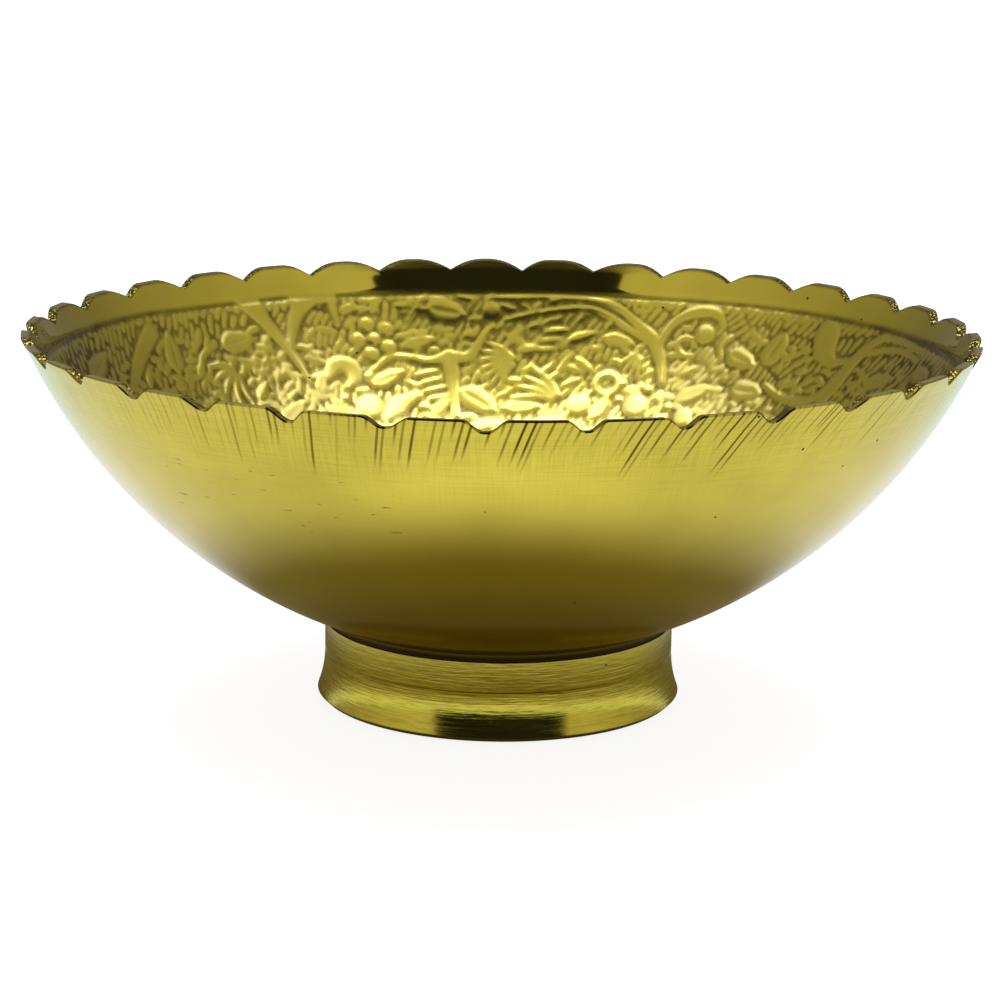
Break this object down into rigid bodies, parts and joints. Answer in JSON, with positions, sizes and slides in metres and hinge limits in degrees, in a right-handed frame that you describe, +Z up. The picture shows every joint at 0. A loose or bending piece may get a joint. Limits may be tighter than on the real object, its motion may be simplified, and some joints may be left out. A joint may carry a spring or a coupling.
{
  "type": "footed bowl",
  "caption": "Shallow cast brass bowl with a scalloped rim and a relief-patterned inside, standing on a turned foot ring.",
  "frame": {"origin": "centre of the foot ring's base, on the surface that the bowl stands on", "axes": "+Z up, along the bowl's axis; the front is at -Y, where the notch nearest the front lies 1.6 degrees towards -X"},
  "size_m": [0.152, 0.152, 0.0602],
  "materials": {
    "cast_brass": "buffed outside, soft cast relief inside",
    "turned_brass": "lathe-turned, with fine rings",
    "solder": "dull, darkened by flux and polish residue"
  },
  "bodies": {
    "root": {"bowl": "cast_brass", "foot_ring": "turned_brass", "solder_joint": "solder"}
  },
  "joints": []
}
